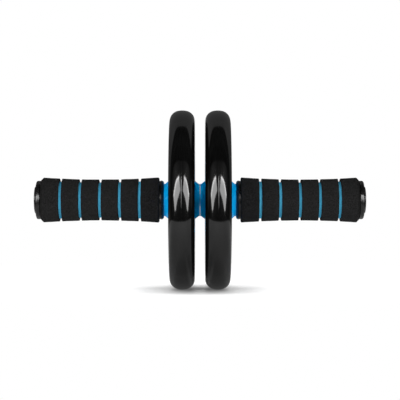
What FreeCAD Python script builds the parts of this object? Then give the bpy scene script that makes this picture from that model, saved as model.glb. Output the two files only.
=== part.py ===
import FreeCAD, Part
import math
import os

# Ab wheel roller: two wheels that turn by themselves on a steel axle, with a foam grip on each end.
# Millimetres. The axle lies along X, the wheels stand on Z = 0 and the origin is under the axle's middle.

# Clearances
running_fit = 0.06
seat_gap = 0.05
side_play = 0.1

# Axle and the washer at its middle
axle_radius = 6.0
axle_end_bevel = 1.0
washer_thickness = 0.5
washer_inset = 0.1

# Bushes
bush_wall = 4.0
bush_length = 12.0
bush_flange_width = 4.0
bush_flange_thickness = 1.6

# Tyres
wheel_radius = 90.0
tyre_width = 25.4
tread_arc_radius = 22.0
shoulder_rounding = 10.5
tread_thickness = 8.0
tyre_wall = 4.0

# Hubs
rim_radius = 50.0
rim_thickness = 5.0
ridge_height = 3.0
web_thickness = 5.0
boss_inner_overhang = 4.75
boss_outer_overhang = 5.6
boss_end_wall = 2.2
boss_land = 1.0
boss_flare_length = 5.5
boss_flare_slope = 0.8
bore_relief = 1.5
hub_rib_count = 8
hub_rib_thickness = 3.0
hub_rib_height = 6.5

# Handle cores
core_radius = 15.5
core_wall = 2.5
socket_wall = 2.5
socket_end_wall = 3.0
core_rib_count = 6
core_rib_thickness = 2.2
bulkhead_thickness = 7.0
collar_rise = 4.05
collar_length = 2.8
collar_rounding = 2.6
neck_rise = 3.75
neck_length = 1.85

# Foam grips
grip_length = 119.15
sleeve_thickness = 2.1
ring_thickness = 2.55
grip_flare = 2.15
groove_count = 5
groove_width = 2.6
groove_pitch = 19.78
first_groove = 19.65
grip_end_bevel = 2.6

# End caps
cap_rise = 3.8
cap_flange_thickness = 4.1
cap_rounding = 1.6
cap_disc_radius = 13.6
cap_disc_height = 1.7
cap_disc_bevel = 0.6
plug_length = 9.0
plug_wall = 2.0

# Radii that follow from the sizes above
bush_bore = axle_radius + running_fit
bush_radius = bush_bore + bush_wall
bush_flange_radius = bush_radius + bush_flange_width
boss_end_radius = bush_flange_radius + seat_gap + boss_end_wall
boss_radius = boss_end_radius + boss_flare_slope * boss_flare_length
rim_seat = rim_radius - seat_gap
rim_inside = rim_seat - rim_thickness
socket_bore = axle_radius + seat_gap
plug_bore = core_radius - core_wall
plug_radius = plug_bore - seat_gap
collar_radius = core_radius + collar_rise
neck_radius = core_radius + neck_rise
cap_radius = core_radius + cap_rise
sleeve_bore = core_radius + seat_gap
sleeve_waist = sleeve_bore + sleeve_thickness
ring_bore_waist = sleeve_waist + seat_gap
ring_waist = ring_bore_waist + ring_thickness

# Stations along the axle, on the right hand side
tyre_half = tyre_width / 2
boss_inner_end = tyre_half + boss_inner_overhang
boss_outer_end = tyre_half + boss_outer_overhang
wheel_centre = washer_thickness / 2 + side_play + boss_inner_end
collar_start = wheel_centre + boss_outer_end + side_play
collar_end = collar_start + collar_length
grip_start = collar_end + neck_length
grip_end = grip_start + grip_length
grip_middle = (grip_start + grip_end) / 2
plug_tip = grip_end - plug_length
plug_seat = plug_tip - seat_gap
socket_end = plug_seat - socket_end_wall
cap_flange_end = grip_end + cap_flange_thickness
cap_end = cap_flange_end + cap_disc_height

CENTRE = FreeCAD.Vector(0, 0, 0)
ALONG_AXLE = FreeCAD.Vector(1, 0, 0)
UP_TO_AXLE = FreeCAD.Vector(0, 0, wheel_radius)


def at(x, radius):
    """A point of a half-section, which lies in the XZ plane above the axle."""
    return FreeCAD.Vector(x, 0, radius)


def arc(start, through, end):
    return Part.Arc(at(*start), at(*through), at(*end)).toShape()


def chain(*points):
    """Straight edges through the points in turn."""
    pairs = zip(points, points[1:])
    return [Part.LineSegment(at(*start), at(*end)).toShape() for start, end in pairs]


def turned(edges, angle=360):
    """The solid that a closed half-section makes when it is turned round the axle."""
    return Part.Face(Part.Wire(edges)).revolve(CENTRE, ALONG_AXLE, angle)


def rounded_corner(corner, radius, before, after):
    """Start, end and arc of a rounded square corner. The two sides are unit steps from the corner."""
    x, height = corner
    bulge = radius * (1 - math.sqrt(0.5))
    start = (x + radius * before[0], height + radius * before[1])
    end = (x + radius * after[0], height + radius * after[1])
    through = (x + bulge * (before[0] + after[0]), height + bulge * (before[1] + after[1]))
    return start, end, arc(start, through, end)


def round_the_axle(shape, count):
    """Copies of a shape, evenly spaced round the axle."""
    copies = []
    for index in range(count):
        copy = shape.copy()
        copy.rotate(CENTRE, ALONG_AXLE, index * 360 / count)
        copies.append(copy)
    return copies


def moved_along(shape, x):
    copy = shape.copy()
    copy.translate(at(x, 0))
    return copy


def mirrored(shape):
    return shape.mirror(CENTRE, ALONG_AXLE)


def axle():
    """Plain steel rod with bevelled ends, which bottom in the blind sockets of both handles."""
    shoulder = socket_end - axle_end_bevel
    tip_radius = axle_radius - axle_end_bevel
    return turned(
        chain(
            (-socket_end, 0),
            (-socket_end, tip_radius),
            (-shoulder, axle_radius),
            (shoulder, axle_radius),
            (socket_end, tip_radius),
            (socket_end, 0),
            (-socket_end, 0),
        )
    )


def middle_washer():
    """Steel washer that keeps the two hubs apart."""
    half = washer_thickness / 2
    bore = axle_radius + running_fit
    radius = boss_end_radius - washer_inset
    return turned(chain((-half, bore), (half, bore), (half, radius), (-half, radius), (-half, bore)))


def bush():
    """Flanged bush, with its flange's outer face at X = 0 and its sleeve towards -X."""
    flange_back = -bush_flange_thickness
    sleeve_end = flange_back - bush_length
    return turned(
        chain(
            (0, bush_bore),
            (0, bush_flange_radius),
            (flange_back, bush_flange_radius),
            (flange_back, bush_radius),
            (sleeve_end, bush_radius),
            (sleeve_end, bush_bore),
            (0, bush_bore),
        )
    )


def tread_edges():
    """Outline of the tread: a crown arc with a shoulder arc on each side, tangent to it and to the wall."""
    crown_centre = wheel_radius - tread_arc_radius
    reach = tyre_half - shoulder_rounding
    rise = math.sqrt((tread_arc_radius - shoulder_rounding) ** 2 - reach**2)
    turn = math.atan2(reach, rise)
    half_turn = (turn + math.pi / 2) / 2
    wall_top = (tyre_half, crown_centre + rise)
    shoulder = (
        reach + shoulder_rounding * math.sin(half_turn),
        crown_centre + rise + shoulder_rounding * math.cos(half_turn),
    )
    crown_end = (tread_arc_radius * math.sin(turn), crown_centre + tread_arc_radius * math.cos(turn))
    right_side = [crown_end, shoulder, wall_top]
    left_side = [(-x, radius) for x, radius in reversed(right_side)]
    edges = [arc(*left_side), arc(left_side[-1], (0, wheel_radius), crown_end), arc(*right_side)]
    return edges, wall_top


def tyre():
    """Hollow tyre with a round tread, open inside where its two walls stand on the rim."""
    edges, wall_top = tread_edges()
    hollow_half = tyre_half - tyre_wall
    hollow_top = wheel_radius - tread_thickness
    edges += chain(
        wall_top,
        (tyre_half, rim_radius),
        (hollow_half, rim_radius),
        (hollow_half, hollow_top),
        (-hollow_half, hollow_top),
        (-hollow_half, rim_radius),
        (-tyre_half, rim_radius),
        (-tyre_half, wall_top[1]),
    )
    return turned(edges)


def hub_side(boss_end):
    """One side of the hub's section, from its bore to its ridge, with a boss of the given reach."""
    web_half = web_thickness / 2
    ridge_half = tyre_half - tyre_wall - seat_gap
    ridge_top = rim_seat + ridge_height
    land_start = boss_end - boss_land
    flare_start = land_start - boss_flare_length
    flange_seat = bush_flange_radius + seat_gap
    bush_seat = bush_radius + seat_gap
    flange_depth = boss_end - bush_flange_thickness
    bush_depth = flange_depth - bush_length - seat_gap
    relief = axle_radius + bore_relief
    return [
        (bush_depth, relief),
        (bush_depth, bush_seat),
        (flange_depth, bush_seat),
        (flange_depth, flange_seat),
        (boss_end, flange_seat),
        (boss_end, boss_end_radius),
        (land_start, boss_end_radius),
        (flare_start, boss_radius),
        (web_half, boss_radius),
        (web_half, rim_inside),
        (tyre_half, rim_inside),
        (tyre_half, rim_seat),
        (ridge_half, rim_seat),
        (ridge_half, ridge_top),
    ]


def hub_body():
    """Turned body of the hub: flared boss, web, rim, and the ridge between the tyre's walls."""
    outer_side = hub_side(boss_outer_end)
    inner_side = [(-x, radius) for x, radius in reversed(hub_side(boss_inner_end))]
    return turned(chain(*outer_side, *inner_side, outer_side[0]))


def hub_rib():
    """One radial rib, from boss to rim, that stands out on both faces of the web."""
    inner = boss_end_radius
    outer = rim_inside + rim_thickness / 2
    depth = web_thickness + 2 * hub_rib_height
    corner = FreeCAD.Vector(-depth / 2, -hub_rib_thickness / 2, inner)
    return Part.makeBox(depth, hub_rib_thickness, outer - inner, corner)


def hub():
    """One-piece hub: the turned body with a ring of ribs."""
    return hub_body().fuse(round_the_axle(hub_rib(), hub_rib_count)).removeSplitter()


def core_pocket():
    """One of the long pockets that leave ribs between the core's shell and its socket."""
    inner = socket_bore + socket_wall
    start = collar_start + bulkhead_thickness
    angle = 360 / core_rib_count
    section = chain(
        (start, inner), (plug_seat, inner), (plug_seat, plug_bore), (start, plug_bore), (start, inner)
    )
    rib_corner = FreeCAD.Vector(start, -core_rib_thickness / 2, 0)
    rib = Part.makeBox(plug_seat - start, core_rib_thickness, core_radius, rib_corner)
    next_rib = rib.copy()
    next_rib.rotate(CENTRE, ALONG_AXLE, angle)
    return turned(section, angle).cut([rib, next_rib])


def handle_core():
    """Moulded handle core: collar, ribbed tube, blind socket for the axle, and a seat for the cap's plug."""
    face, crest, collar_arc = rounded_corner(
        (collar_start, collar_radius), collar_rounding, (0, -1), (1, 0)
    )
    edges = chain((collar_start, socket_bore), face)
    edges += [collar_arc]
    edges += chain(
        crest,
        (collar_end, collar_radius),
        (collar_end, neck_radius),
        (grip_start, neck_radius),
        (grip_start, core_radius),
        (grip_end, core_radius),
        (grip_end, plug_bore),
        (plug_seat, plug_bore),
        (plug_seat, 0),
        (socket_end, 0),
        (socket_end, socket_bore),
        (collar_start, socket_bore),
    )
    return turned(edges).cut(round_the_axle(core_pocket(), core_rib_count))


def waist_rise(x):
    """How far the grip's arc has risen at a station, above its least radius in the middle."""
    half = grip_length / 2
    arc_radius = (half**2 + grip_flare**2) / (2 * grip_flare)
    return arc_radius - math.sqrt(arc_radius**2 - (x - grip_middle) ** 2)


def waist(start, end, least_radius):
    """A stretch of the grip's arc, with the points at its two ends."""
    stations = (start, (start + end) / 2, end)
    points = [(x, least_radius + waist_rise(x)) for x in stations]
    return points[0], points[2], arc(*points)


def grip_sleeve():
    """Inner foam sleeve, drawn in at the middle, that shows in the grooves."""
    first, last, waist_arc = waist(grip_start, grip_end, sleeve_waist)
    return turned([waist_arc] + chain(last, (grip_end, sleeve_bore), (grip_start, sleeve_bore), first))


def ring_spans():
    """Start and end of every outer ring, from the wheel outwards."""
    grooves = [grip_start + first_groove + index * groove_pitch for index in range(groove_count)]
    starts = [grip_start] + [groove + groove_width / 2 for groove in grooves]
    ends = [groove - groove_width / 2 for groove in grooves] + [grip_end]
    return list(zip(starts, ends))


def grip_ring(start, end):
    """One outer foam ring between two grooves. It follows the waist."""
    outer_first, outer_last, outer_arc = waist(start, end, ring_waist)
    inner_first, inner_last, inner_arc = waist(end, start, ring_bore_waist)
    return turned([outer_arc] + chain(outer_last, inner_first) + [inner_arc] + chain(inner_last, outer_first))


def end_bevel():
    """What the bevel at the grip's outer end takes off the last ring."""
    edge = ring_waist + waist_rise(grip_end)
    return turned(
        chain(
            (grip_end - grip_end_bevel, edge),
            (grip_end, edge - grip_end_bevel),
            (grip_end, edge),
            (grip_end - grip_end_bevel, edge),
        )
    )


def end_cap():
    """End cap: round-edged flange, flat raised disc, and a hollow plug inside the core."""
    rim, face, rim_arc = rounded_corner((cap_flange_end, cap_radius), cap_rounding, (-1, 0), (0, -1))
    hollow = plug_radius - plug_wall
    edges = chain((grip_end, plug_radius), (grip_end, cap_radius), rim)
    edges += [rim_arc]
    edges += chain(
        face,
        (cap_flange_end, cap_disc_radius),
        (cap_end - cap_disc_bevel, cap_disc_radius),
        (cap_end, cap_disc_radius - cap_disc_bevel),
        (cap_end, 0),
        (grip_end, 0),
        (grip_end, hollow),
        (plug_tip, hollow),
        (plug_tip, plug_radius),
        (grip_end, plug_radius),
    )
    return turned(edges)


def wheel_pieces():
    """The right wheel's pieces."""
    pieces = {
        "wheel_tyre": tyre(),
        "wheel_hub": hub(),
        "wheel_outer_bush": moved_along(bush(), boss_outer_end),
        "wheel_inner_bush": mirrored(moved_along(bush(), boss_inner_end)),
    }
    return {name: moved_along(shape, wheel_centre) for name, shape in pieces.items()}


def handle_pieces():
    """The right handle's pieces. Its rings are numbered from the wheel outwards."""
    rings = [grip_ring(start, end) for start, end in ring_spans()]
    rings[-1] = rings[-1].cut(end_bevel())
    pieces = {"grip_ring_%d" % number: ring for number, ring in enumerate(rings, 1)}
    pieces["handle_core"] = handle_core()
    pieces["grip_sleeve"] = grip_sleeve()
    pieces["end_cap"] = end_cap()
    return pieces


def roller():
    """Every piece of the roller by its name. The left side mirrors the right."""
    pieces = {"axle": axle(), "middle_washer": middle_washer()}
    for name, shape in {**wheel_pieces(), **handle_pieces()}.items():
        pieces["right_" + name] = shape
        pieces["left_" + name] = mirrored(shape)
    return pieces


os.makedirs("parts", exist_ok=True)
for node, solid in roller().items():
    solid.translate(UP_TO_AXLE)
    solid.exportStep("parts/%s.step" % node)
    print("%-24s volume %9.1f  valid %s" % (node, solid.Volume, solid.isValid()))
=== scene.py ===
import math

import bmesh
import bpy
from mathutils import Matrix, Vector, noise


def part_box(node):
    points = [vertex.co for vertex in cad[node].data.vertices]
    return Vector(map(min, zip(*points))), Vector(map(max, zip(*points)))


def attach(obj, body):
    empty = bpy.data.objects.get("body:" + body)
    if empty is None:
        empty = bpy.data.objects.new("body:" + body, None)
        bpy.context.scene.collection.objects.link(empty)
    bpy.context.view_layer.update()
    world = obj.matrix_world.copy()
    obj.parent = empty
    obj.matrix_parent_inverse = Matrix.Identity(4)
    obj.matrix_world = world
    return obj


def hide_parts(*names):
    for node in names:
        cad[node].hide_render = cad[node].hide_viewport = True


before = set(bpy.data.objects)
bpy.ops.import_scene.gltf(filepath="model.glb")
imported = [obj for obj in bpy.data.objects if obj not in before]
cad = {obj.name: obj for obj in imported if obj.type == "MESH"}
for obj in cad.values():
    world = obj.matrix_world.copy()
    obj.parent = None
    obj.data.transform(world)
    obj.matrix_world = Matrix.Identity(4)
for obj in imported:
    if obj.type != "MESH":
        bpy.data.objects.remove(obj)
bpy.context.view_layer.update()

# Ab wheel roller on a white table. Metres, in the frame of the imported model: the axle lies along X.

# Camera, with the width of its sensor in millimetres
camera_distance = 1.5
frame_width_at_axle = 0.4024
sensor_width = 36.0

# Tyres
crown_radius = 0.022
shoulder_radius = 0.0105
tyre_bore = 0.050
tyre_wall = 0.004
tread_thickness = 0.008
tyre_lip_rounding = 0.0012
parting_line_height = 0.00005
parting_line_width = 0.00015
crown_steps = 100
shoulder_steps = 30
turn_steps = 224

# Foam grips
waist_radius = 0.0206
sleeve_bore = 0.01555
sleeve_waist_radius = 0.01765
ring_bore_gap = 0.00005
ring_lip_gap = 0.0002
grip_flare = 0.00215
sleeve_setback = 0.004
ring_edge_rounding = 0.0005
inner_end_rounding = 0.0016
outer_end_setback = 0.0008
outer_end_bevel = 0.0022
foam_unevenness = 0.00014
foam_unevenness_size = 0.005
foam_unevenness_seed = 1
ring_steps = 4
sleeve_steps = 60
foam_turn_steps = 160

# Modelled meshes: steps in a rounded corner, and the distance below which points are one
rounding_steps = 6
merge_distance = 1e-7

# Gloss of plastic and rubber fades at flat angles: from where, as 1 less the cosine, and how fast
gloss_fade_start = 0.5
gloss_fade_power = 1.9

# Grains, each by features per metre and detail, and bumps, each by strength and depth
noise_range = (0.3, 0.7)
foam_grain = (800, 4)
foam_bump_grain = (1500, 3)
foam_bump = (0.8, 0.0005)
foam_roughness = 0.95
foam_specular = 0.1
plastic_grain = (60, 3)
plastic_gloss_grain = (150, 3)
plastic_gloss_variation = 0.15
plastic_bump_grain = (120, 2)
plastic_bump = (0.1, 0.0001)
steel_grain = (500, 3)
steel_gloss_grain = (900, 2)
steel_gloss_variation = 0.2

# Round table. Its glow carries a painted shade near the object, taken from ambient occlusion rather than
# cast by the lamps, lighter as seen directly and wider and deeper where it shows in gloss: reach and depth
# of that shade, least glow and full glow
table_front = -0.223
table_radius = 0.42
table_edge_steps = 128
table_grey = 0.2
table_roughness = 0.9
table_painted_shade_seen = (0.05, 1.5, 0.1, 1.0)
table_painted_shade_in_gloss = (0.3, 4.5, 0.11, 0.73)
painted_shade_samples = 4

# Room: dark in front of a plane, grey behind it, open at the back by an angle in degrees, dimmer in gloss
room_radius = 3.0
room_turn_steps = 96
room_tilt_steps = 48
room_opening = 6
room_edge = 0.29
room_edge_softness = 0.02
room_front_glow = 0.03
room_back_glow = 0.45
room_far_glow = 0.29
room_gloss_share = 0.5

# Upper left and right of the room, where the grey reaches further forward and is lighter
room_corner_push = 0.08
room_corner_gain = 1.6
room_corner_sharpness = 4.0

# Lighter patch of the room round each card, by azimuth from the camera and elevation, in degrees
halo_azimuth = 36
halo_elevation = 18
halo_glow = 0.65
halo_sharpness = 8.0

# White cards that show in the gloss, by azimuth from the camera and elevation, in degrees
card_distance = 1.0
card_corners = ((13.4, 28.6), (38, 18), (55, 5), (42.5, -11.9), (32.5, -11.6), (5.6, 11.5))
card_edge_shares = (1, 1, 1, 0, 0, 0)
card_glow = 7.5
card_edge_glow = 24.0
card_edge_sharpness = 6.0

# Black flag that keeps the cards from showing in the tops of the tyres
flag_distance = 0.1
flag_bottom = 0.15
flag_top = 0.24
flag_half_width = 0.2

# Lamps: azimuth, elevation and spread in degrees, width and height in metres, and power in watts
lamp_distance = 1.2
lamps = {
    "left_key": (-25, 12, 180, 0.25, 0.25, 6.0),
    "right_key": (25, 12, 180, 0.25, 0.25, 6.0),
    "overhead": (0, 80, 10, 0.05, 0.6, 0.105),
    "underneath": (0, -60, 10, 0.05, 0.3, 0.016),
}

SIDES = {"left": -1, "right": 1}
RING_COUNT = 6
axle_height = sum(corner.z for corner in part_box("axle")) / 2
axle_middle = Vector((0, 0, axle_height))


def reach(node):
    """Distances of a node's near and far end from the middle of the axle, and its radius."""
    low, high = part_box(node)
    near, far = sorted((abs(low.x), abs(high.x)))
    return near, far, (high.z - low.z) / 2


def towards(azimuth, elevation):
    """Direction from the axle's middle. Azimuth 0 is the camera's side and 90 is +X, in degrees."""
    turn, tilt = math.radians(azimuth), math.radians(elevation)
    return Vector((math.sin(turn) * math.cos(tilt), -math.cos(turn) * math.cos(tilt), math.sin(tilt)))


def evenly(start, end, steps):
    """Evenly spaced values from start to end."""
    return [start + (end - start) * step / steps for step in range(steps + 1)]


def arc(centre, radius, start, end, steps):
    """Points on an arc in a half-section. Angles are from the radial direction towards +X, in radians."""
    angles = evenly(start, end, steps)
    return [centre + radius * Vector((math.sin(angle), math.cos(angle))) for angle in angles]


def softened(corners, roundings):
    """The closed outline through the corners, each of them rounded over its own length, or left sharp."""
    points = []
    for index, (corner, rounding) in enumerate(zip(corners, roundings)):
        if not rounding:
            points.append(corner)
            continue
        back = (corners[index - 1] - corner).normalized()
        ahead = (corners[(index + 1) % len(corners)] - corner).normalized()
        for share in evenly(0, 1, rounding_steps):
            points.append(corner + rounding * (back * (1 - share) ** 2 + ahead * share**2))
    return points


def lathe(name, outline, sign, steps):
    """A closed outline of (distance along the axle, radius), turned round the axle on one side of it."""
    vertices = []
    faces = []
    count = len(outline)
    for step in range(steps):
        angle = 2 * math.pi * step / steps
        for x, radius in outline:
            vertices.append((sign * x, radius * math.sin(angle), axle_height + radius * math.cos(angle)))
        row = step * count
        next_row = (step + 1) % steps * count
        for index in range(count):
            following = (index + 1) % count
            faces.append((row + index, next_row + index, next_row + following, row + following))
    mesh = bpy.data.meshes.new(name)
    mesh.from_pydata(vertices, [], faces)
    shape = bmesh.new()
    shape.from_mesh(mesh)
    bmesh.ops.remove_doubles(shape, verts=shape.verts, dist=merge_distance)
    bmesh.ops.recalc_face_normals(shape, faces=shape.faces)
    shape.to_mesh(mesh)
    shape.free()
    mesh.shade_smooth()
    piece = bpy.data.objects.new(name, mesh)
    bpy.context.scene.collection.objects.link(piece)
    return piece


def tyre_outline(side):
    """Section of a tyre. A fine parting line runs round the crown, which is lower by its height."""
    near, far, radius = reach(side + "_wheel_tyre")
    middle = (near + far) / 2
    half = (far - near) / 2
    crown_centre = radius - parting_line_height - crown_radius
    across = half - shoulder_radius
    rise = math.sqrt((crown_radius - shoulder_radius) ** 2 - across**2)
    turn = math.atan2(across, rise)
    near_centre = Vector((middle - across, crown_centre + rise))
    far_centre = Vector((middle + across, crown_centre + rise))
    tread = arc(near_centre, shoulder_radius, -math.pi / 2, -turn, shoulder_steps)[:-1]
    for share in evenly(-1, 1, crown_steps):
        # Squared, so that the steps are finest at the parting line
        angle = turn * share * abs(share)
        x = crown_radius * math.sin(angle)
        ridge = parting_line_height * math.exp(-((x / parting_line_width) ** 2))
        tread.append(Vector((middle + x, crown_centre + crown_radius * math.cos(angle) + ridge)))
    tread += arc(far_centre, shoulder_radius, turn, math.pi / 2, shoulder_steps)[1:]
    inner_half = half - tyre_wall
    inner_top = radius - tread_thickness
    walls = [
        Vector((middle + half, tyre_bore)),
        Vector((middle + inner_half, tyre_bore)),
        Vector((middle + inner_half, inner_top)),
        Vector((middle - inner_half, inner_top)),
        Vector((middle - inner_half, tyre_bore)),
        Vector((middle - half, tyre_bore)),
    ]
    return softened(tread + walls, [0] * len(tread) + [tyre_lip_rounding] * len(walls))


def waist_rise(x, start, end):
    """How far the grip's arc has risen at a distance along the axle."""
    half = (end - start) / 2
    radius = (half**2 + grip_flare**2) / (2 * grip_flare)
    return radius - math.sqrt(radius**2 - (x - (start + end) / 2) ** 2)


def ring_outline(side, number):
    """Section of an outer foam ring, which follows the grip's arc.

    The last ring is bevelled, ends just short of the cap and turns in over the end of the sleeve.
    """
    near, far, _ = reach("%s_grip_ring_%d" % (side, number))
    start, end, _ = reach(side + "_grip_sleeve")
    last = number == RING_COUNT
    bevel = outer_end_bevel if last else 0
    if last:
        far -= outer_end_setback
    stations = evenly(near, far - bevel, ring_steps)
    corners = [Vector((x, waist_radius + waist_rise(x, start, end))) for x in stations]
    first_rounding = inner_end_rounding if number == 1 else ring_edge_rounding
    roundings = [first_rounding] + [0] * (ring_steps - 1) + [ring_edge_rounding]
    bore_end = far
    if last:
        bore_end = end - sleeve_setback + ring_bore_gap
        corners.append(Vector((far, corners[-1].y - bevel)))
        corners += [Vector((x, sleeve_bore + ring_lip_gap)) for x in (far, bore_end)]
    bore = sleeve_waist_radius + ring_bore_gap
    bore_stations = (bore_end, (near + bore_end) / 2, near)
    corners += [Vector((x, bore + waist_rise(x, start, end))) for x in bore_stations]
    return softened(corners, roundings + [0] * (len(corners) - len(roundings)))


def sleeve_outline(side):
    """Section of the inner foam sleeve, which ends a little inside the rings."""
    start, end, _ = reach(side + "_grip_sleeve")
    first, last = start + sleeve_setback, end - sleeve_setback
    stations = evenly(first, last, sleeve_steps)
    outer = [Vector((x, sleeve_waist_radius + waist_rise(x, start, end))) for x in stations]
    return outer + [Vector((last, sleeve_bore)), Vector((first, sleeve_bore))]


def make_uneven(piece, shift):
    """Moves the surface of a foam piece in and out a little, as cut foam is never quite even."""
    for vertex in piece.data.vertices:
        place = vertex.co / foam_unevenness_size + Vector((shift, 0, 0))
        vertex.co += foam_unevenness * noise.noise_vector(place)


def grey(level):
    return level, level, level


def surface_material(name):
    """A new material, with its nodes and its shader."""
    material = bpy.data.materials.new(name)
    material.use_nodes = True
    tree = material.node_tree
    return material, tree, tree.nodes["Principled BSDF"]


def fine_noise(tree, scale, detail):
    """A noise texture in the model's own space. Scale is in features per metre."""
    place = tree.nodes.new("ShaderNodeTexCoord")
    texture = tree.nodes.new("ShaderNodeTexNoise")
    texture.inputs["Scale"].default_value = scale
    texture.inputs["Detail"].default_value = detail
    tree.links.new(place.outputs["Object"], texture.inputs["Vector"])
    return texture.outputs["Fac"]


def remapped(tree, value, from_range, to_range):
    """A value carried over from one range to another, and held within it."""
    ramp = tree.nodes.new("ShaderNodeMapRange")
    ramp.inputs["From Min"].default_value, ramp.inputs["From Max"].default_value = from_range
    ramp.inputs["To Min"].default_value, ramp.inputs["To Max"].default_value = to_range
    tree.links.new(value, ramp.inputs["Value"])
    return ramp.outputs["Result"]


def calculated(tree, operation, first, second):
    """A Math node. Each operand is a socket or a number."""
    node = tree.nodes.new("ShaderNodeMath")
    node.operation = operation
    for socket, operand in zip(node.inputs, (first, second)):
        if isinstance(operand, (int, float)):
            socket.default_value = operand
        else:
            tree.links.new(operand, socket)
    return node.outputs[0]


def product(tree, first, second):
    return calculated(tree, "MULTIPLY", first, second)


def total(tree, first, second):
    return calculated(tree, "ADD", first, second)


def power(tree, base, exponent):
    return calculated(tree, "POWER", base, exponent)


def add_colour(tree, shader, grain, dark, light):
    """Colours a material from dark to light by a grain."""
    share = remapped(tree, fine_noise(tree, *grain), noise_range, (0, 1))
    mix = tree.nodes.new("ShaderNodeMix")
    mix.data_type = "RGBA"
    mix.inputs["A"].default_value = (*dark, 1)
    mix.inputs["B"].default_value = (*light, 1)
    tree.links.new(share, mix.inputs["Factor"])
    tree.links.new(mix.outputs["Result"], shader.inputs["Base Color"])


def add_roughness(tree, shader, grain, roughness, variation):
    """Gives a material a roughness that a grain varies up and down by a share of it."""
    limits = (roughness * (1 - variation), roughness * (1 + variation))
    varied = remapped(tree, fine_noise(tree, *grain), noise_range, limits)
    tree.links.new(varied, shader.inputs["Roughness"])


def add_gloss(tree, shader, specular):
    """Gives a material a gloss that fades at flat angles, as a moulded surface is less than polished."""
    weight = tree.nodes.new("ShaderNodeLayerWeight")
    # At this blend, Facing is 1 less the cosine of the angle
    weight.inputs["Blend"].default_value = 0.5
    share = remapped(tree, weight.outputs["Facing"], (gloss_fade_start, 1.0), (1.0, 0.0))
    level = product(tree, power(tree, share, gloss_fade_power), specular)
    tree.links.new(level, shader.inputs["Specular IOR Level"])


def add_bump(tree, shader, grain, strength, depth):
    """Makes a material's surface look uneven by a grain."""
    height = fine_noise(tree, *grain)
    bump = tree.nodes.new("ShaderNodeBump")
    bump.inputs["Strength"].default_value = strength
    bump.inputs["Distance"].default_value = depth
    tree.links.new(height, bump.inputs["Height"])
    tree.links.new(bump.outputs["Normal"], shader.inputs["Normal"])


def foam(name, dark, light):
    """Matt closed-cell foam with a fine grain."""
    material, tree, shader = surface_material(name)
    add_colour(tree, shader, foam_grain, dark, light)
    shader.inputs["Roughness"].default_value = foam_roughness
    shader.inputs["Specular IOR Level"].default_value = foam_specular
    add_bump(tree, shader, foam_bump_grain, *foam_bump)
    return material


def plastic(name, dark, light, roughness, specular):
    """Moulded plastic or rubber with a faint unevenness in its gloss."""
    material, tree, shader = surface_material(name)
    add_colour(tree, shader, plastic_grain, dark, light)
    add_roughness(tree, shader, plastic_gloss_grain, roughness, plastic_gloss_variation)
    add_gloss(tree, shader, specular)
    add_bump(tree, shader, plastic_bump_grain, *plastic_bump)
    return material


def steel(name, dark, light, roughness):
    """Steel with a fine grain, between the two colours given."""
    material, tree, shader = surface_material(name)
    add_colour(tree, shader, steel_grain, dark, light)
    add_roughness(tree, shader, steel_gloss_grain, roughness, steel_gloss_variation)
    shader.inputs["Metallic"].default_value = 1.0
    return material


def add_camera():
    """A camera level with the axle, which looks along +Y."""
    data = bpy.data.cameras.new("camera")
    data.sensor_width = sensor_width
    data.lens = sensor_width * camera_distance / frame_width_at_axle
    camera = bpy.data.objects.new("camera", data)
    camera.location = axle_middle + camera_distance * towards(0, 0)
    camera.rotation_euler = (math.pi / 2, 0, 0)
    bpy.context.scene.collection.objects.link(camera)
    bpy.context.scene.camera = camera


def add_world():
    """White for what is seen directly, in gloss or through glass, and dark for the rest."""
    world = bpy.data.worlds.new("white")
    bpy.context.scene.world = world
    world.use_nodes = True
    tree = world.node_tree
    path = tree.nodes.new("ShaderNodeLightPath")
    seen = calculated(tree, "MAXIMUM", path.outputs["Is Camera Ray"], path.outputs["Is Glossy Ray"])
    seen = calculated(tree, "MAXIMUM", seen, path.outputs["Is Transmission Ray"])
    tree.nodes["Background"].inputs["Color"].default_value = (1, 1, 1, 1)
    tree.links.new(seen, tree.nodes["Background"].inputs["Strength"])


def stage_object(name, mesh):
    """Adds a thing that stands round the object and is no part of it."""
    thing = bpy.data.objects.new(name, mesh)
    bpy.context.scene.collection.objects.link(thing)
    return thing


def show_in_gloss_alone(thing):
    thing.visible_camera = False
    thing.visible_diffuse = False
    thing.visible_shadow = False


def in_gloss(tree, direct, mirrored):
    """The mirrored value for what shows in gloss, and the direct one for all else."""
    path = tree.nodes.new("ShaderNodeLightPath")
    mix = tree.nodes.new("ShaderNodeMix")
    tree.links.new(path.outputs["Is Glossy Ray"], mix.inputs["Factor"])
    tree.links.new(direct, mix.inputs["A"])
    tree.links.new(mirrored, mix.inputs["B"])
    return mix.outputs["Result"]


def table_glow_with_painted_shade(tree, reach_of_shade, depth, least, full):
    """How brightly the table glows, with a painted shade of the object on it, taken from ambient occlusion.
    """
    shade = tree.nodes.new("ShaderNodeAmbientOcclusion")
    shade.samples = painted_shade_samples
    shade.inputs["Distance"].default_value = reach_of_shade
    return remapped(tree, power(tree, shade.outputs["AO"], depth), (0.0, 1.0), (least, full))


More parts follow.
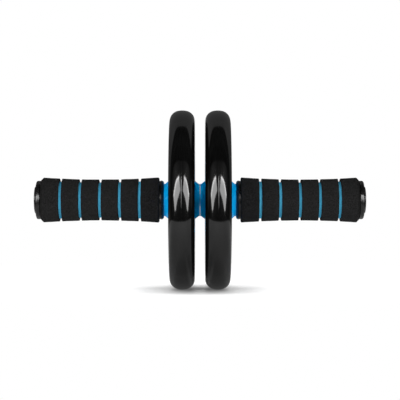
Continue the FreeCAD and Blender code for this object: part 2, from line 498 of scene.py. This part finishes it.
def add_table():
    """White light table, with a painted shade in its glow where the object stands over it.

    It casts no shadow, so a lamp can shine up through it.
    """
    outline = []
    for step in range(table_edge_steps):
        angle = 2 * math.pi * step / table_edge_steps
        y = table_front + table_radius * (1 - math.cos(angle))
        outline.append((table_radius * math.sin(angle), y, 0))
    mesh = bpy.data.meshes.new("table")
    mesh.from_pydata(outline, [], [range(len(outline))])
    table = stage_object("table", mesh)
    table.visible_shadow = False
    material, tree, shader = surface_material("table_white")
    shader.inputs["Base Color"].default_value = (*grey(table_grey), 1)
    shader.inputs["Roughness"].default_value = table_roughness
    shader.inputs["Specular IOR Level"].default_value = 0.0
    shader.inputs["Emission Color"].default_value = (1, 1, 1, 1)
    # The glow carries a painted shade of the object, deeper where it shows in gloss than where it is seen
    # directly
    glow = in_gloss(tree, table_glow_with_painted_shade(tree, *table_painted_shade_seen), table_glow_with_painted_shade(tree, *table_painted_shade_in_gloss))
    tree.links.new(glow, shader.inputs["Emission Strength"])
    mesh.materials.append(material)


def glow_material(name):
    """A new material that only glows, with its nodes and the socket for its strength."""
    material = bpy.data.materials.new(name)
    material.use_nodes = True
    tree = material.node_tree
    tree.nodes.clear()
    output = tree.nodes.new("ShaderNodeOutputMaterial")
    glow = tree.nodes.new("ShaderNodeEmission")
    tree.links.new(glow.outputs[0], output.inputs["Surface"])
    return material, tree, glow.inputs["Strength"]


def place_of(tree, kind, axis):
    """One coordinate of the place on a surface."""
    place = tree.nodes.new("ShaderNodeTexCoord")
    parts = tree.nodes.new("ShaderNodeSeparateXYZ")
    tree.links.new(place.outputs[kind], parts.inputs[0])
    return parts.outputs[axis]


def room_glow(tree):
    """How brightly each place on the room glows."""
    across, depth, height = [
        calculated(tree, "DIVIDE", place_of(tree, "Object", axis), room_radius) for axis in "XYZ"
    ]
    aside = calculated(tree, "ABSOLUTE", across, 0.0)
    above = calculated(tree, "MAXIMUM", height, 0.0)

    # Aside times above is a half at most, so twice that is 1 in the middle of a corner
    slant = product(tree, product(tree, aside, above), 2.0)
    corner = power(tree, slant, room_corner_sharpness)
    pushed = total(tree, product(tree, corner, room_corner_push), depth)
    behind = remapped(tree, pushed, (room_edge, 1.0), (room_back_glow, room_far_glow))
    behind = product(tree, behind, remapped(tree, corner, (0.0, 1.0), (1.0, room_corner_gain)))
    edge = (room_edge - room_edge_softness, room_edge + room_edge_softness)
    share = remapped(tree, pushed, edge, (0.0, 1.0))
    glow = total(tree, product(tree, share, behind), room_front_glow)

    facing = 0.0
    for place, part in zip((aside, depth, height), towards(halo_azimuth, halo_elevation)):
        facing = total(tree, product(tree, place, part), facing)
    halo = power(tree, calculated(tree, "MAXIMUM", facing, 0.0), halo_sharpness)
    return total(tree, product(tree, halo, halo_glow), glow)


def add_room():
    """The room round the table, which only shows in gloss and as faint light. Its open back shows white."""
    mesh = bpy.data.meshes.new("room")
    ball = bmesh.new()
    bmesh.ops.create_uvsphere(
        ball, u_segments=room_turn_steps, v_segments=room_tilt_steps, radius=room_radius
    )
    opening = room_radius * math.cos(math.radians(room_opening))
    bmesh.ops.delete(ball, geom=[vertex for vertex in ball.verts if vertex.co.y > opening], context="VERTS")
    ball.to_mesh(mesh)
    ball.free()
    room = stage_object("room", mesh)
    room.location = axle_middle
    room.visible_camera = False
    room.visible_shadow = False
    material, tree, strength = glow_material("room_grey")
    glow = room_glow(tree)
    tree.links.new(in_gloss(tree, glow, product(tree, glow, room_gloss_share)), strength)
    mesh.materials.append(material)


def add_card(side):
    """A white card in front of the wheels, to one side. It is brightest along its upper outer edge."""
    directions = [towards(SIDES[side] * turn, tilt) for turn, tilt in card_corners]
    corners = [axle_middle + card_distance * direction for direction in directions]
    mesh = bpy.data.meshes.new(side + "_card")
    mesh.from_pydata(corners, [], [range(len(corners))])
    layer = mesh.uv_layers.new(name="across")
    for loop, share in zip(layer.data, card_edge_shares):
        loop.uv = (0, share)
    show_in_gloss_alone(stage_object(side + "_card", mesh))
    material, tree, strength = glow_material(side + "_card_white")
    edge = power(tree, place_of(tree, "UV", "Y"), card_edge_sharpness)
    tree.links.new(remapped(tree, edge, (0.0, 1.0), (card_glow, card_edge_glow)), strength)
    mesh.materials.append(material)


def add_flag():
    """An upright black flag just in front of the wheels, above the axle. It only shows in gloss."""
    places = ((-1, flag_bottom), (1, flag_bottom), (1, flag_top), (-1, flag_top))
    corners = [(sign * flag_half_width, -flag_distance, height) for sign, height in places]
    mesh = bpy.data.meshes.new("flag")
    mesh.from_pydata(corners, [], [range(len(corners))])
    show_in_gloss_alone(stage_object("flag", mesh))
    material, _, shader = surface_material("flag_black")
    shader.inputs["Base Color"].default_value = (0, 0, 0, 1)
    shader.inputs["Specular IOR Level"].default_value = 0.0
    mesh.materials.append(material)


def add_lamp(name, azimuth, elevation, spread_angle, width, height, watts):
    """A soft lamp aimed at the axle's middle. It lights the object but doesn't show in its gloss."""
    data = bpy.data.lights.new(name, "AREA")
    data.shape = "RECTANGLE"
    data.size = width
    data.size_y = height
    data.spread = math.radians(spread_angle)
    data.energy = watts
    lamp = bpy.data.objects.new(name, data)
    away = towards(azimuth, elevation)
    lamp.location = axle_middle + lamp_distance * away
    lamp.rotation_euler = away.to_track_quat("Z", "Y").to_euler()
    lamp.visible_glossy = False
    bpy.context.scene.collection.objects.link(lamp)


def dress(piece, material):
    """Gives a piece its one material."""
    piece.data.materials.clear()
    piece.data.materials.append(material)


def stand_for(piece, node, body, material):
    """Puts a modelled piece in the place of a node."""
    dress(piece, material)
    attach(piece, body)
    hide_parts(node)


bpy.context.scene.view_settings.view_transform = "Standard"
add_camera()
add_world()
add_table()
add_room()
add_flag()
for name, values in lamps.items():
    add_lamp(name, *values)

foam_black = foam("foam_black", dark=grey(0.003), light=grey(0.015))
foam_blue = foam("foam_blue", dark=(0.06, 0.38, 0.62), light=(0.095, 0.52, 0.82))
tyre_black = plastic("tyre_black", grey(0.002), grey(0.003), roughness=0.09, specular=0.5)
hub_blue = plastic("hub_blue", (0.0, 0.35, 0.76), (0.0, 0.39, 0.85), roughness=0.25, specular=0.4)
gloss_black = plastic("gloss_black", grey(0.003), grey(0.005), roughness=0.25, specular=0.48)
bush_white = plastic("bush_white", (0.7, 0.69, 0.66), (0.75, 0.74, 0.7), roughness=0.5, specular=0.5)
bright_steel = steel("bright_steel", (0.5, 0.52, 0.54), (0.6, 0.62, 0.64), roughness=0.3)
# The washer's steel is tinted blue: a painted reflection of the blue hubs on either side of it
steel_with_painted_blue_reflection = steel("steel_with_painted_blue_reflection", (0.06, 0.20, 0.30), (0.09, 0.24, 0.34), roughness=0.25)

dress(cad["axle"], bright_steel)
dress(cad["middle_washer"], steel_with_painted_blue_reflection)
noise.seed_set(foam_unevenness_seed)
for side, sign in SIDES.items():
    add_card(side)
    dress(cad[side + "_wheel_hub"], hub_blue)
    dress(cad[side + "_handle_core"], gloss_black)
    dress(cad[side + "_end_cap"], gloss_black)
    dress(cad[side + "_wheel_outer_bush"], bush_white)
    dress(cad[side + "_wheel_inner_bush"], bush_white)

    tyre = lathe(side + "_tyre", tyre_outline(side), sign, turn_steps)
    stand_for(tyre, side + "_wheel_tyre", side + "_wheel", tyre_black)

    sleeve = lathe(side + "_sleeve", sleeve_outline(side), sign, foam_turn_steps)
    stand_for(sleeve, side + "_grip_sleeve", "axle_handles", foam_blue)

    for number in range(1, RING_COUNT + 1):
        ring = lathe("%s_ring_%d" % (side, number), ring_outline(side, number), sign, foam_turn_steps)
        make_uneven(ring, number)
        stand_for(ring, "%s_grip_ring_%d" % (side, number), "axle_handles", foam_black)
